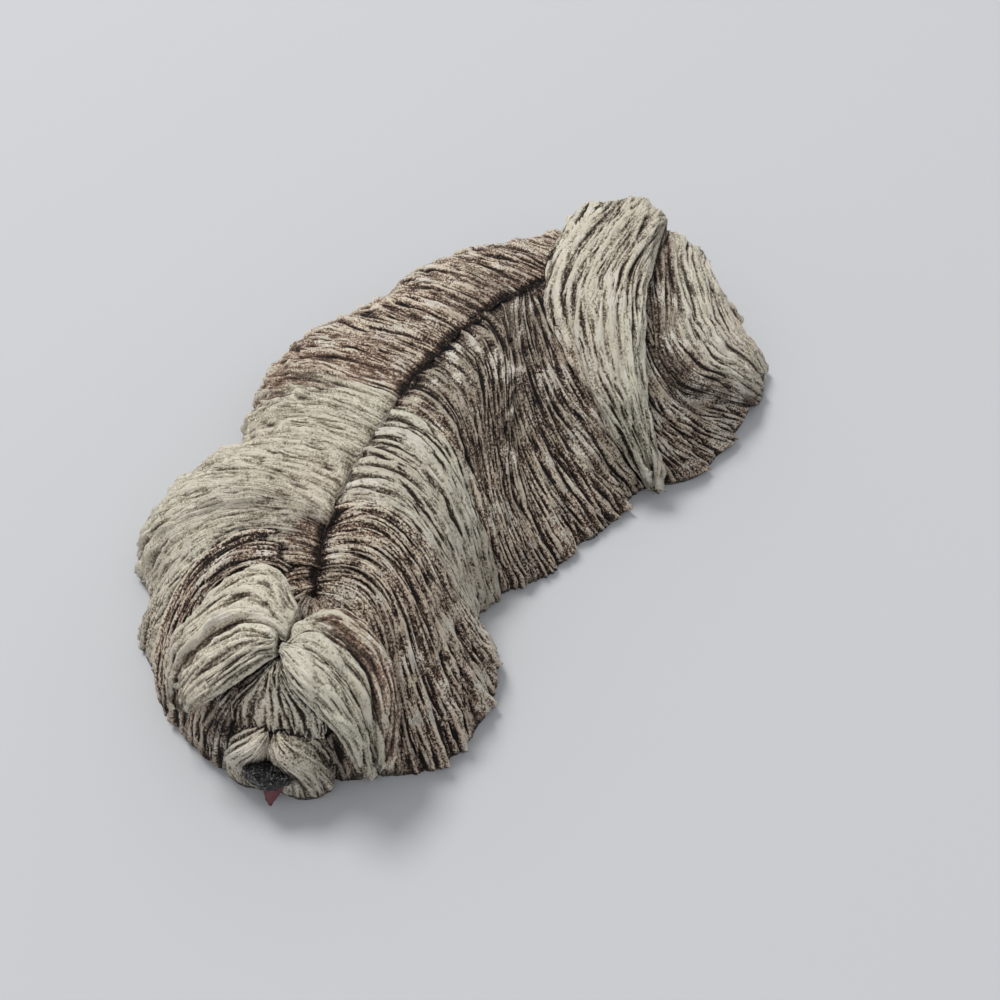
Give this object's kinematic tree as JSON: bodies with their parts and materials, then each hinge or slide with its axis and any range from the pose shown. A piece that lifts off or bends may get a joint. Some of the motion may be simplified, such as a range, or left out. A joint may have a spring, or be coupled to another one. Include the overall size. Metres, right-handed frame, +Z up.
{
  "type": "dog figurine",
  "caption": "Cast and painted figurine of a small long-coated dog lying flat, head turned to its left, coat combed from a parting down the back, tail plume over the rump.",
  "frame": {"origin": "On the table, under the middle of the figurine's box", "axes": "+Y runs from the head to the tail along the body, +X is the dog's left, which its face is turned to, +Z is up"},
  "size_m": [0.113, 0.1838, 0.0378],
  "materials": {
    "painted_resin": "stone-filled casting resin, painted matt: dark brown wash in the grooves, cream and greenish-white dry brushing on the locks, glossy black nose"
  },
  "bodies": {
    "root": {"dog_figurine": "painted_resin"}
  },
  "joints": []
}
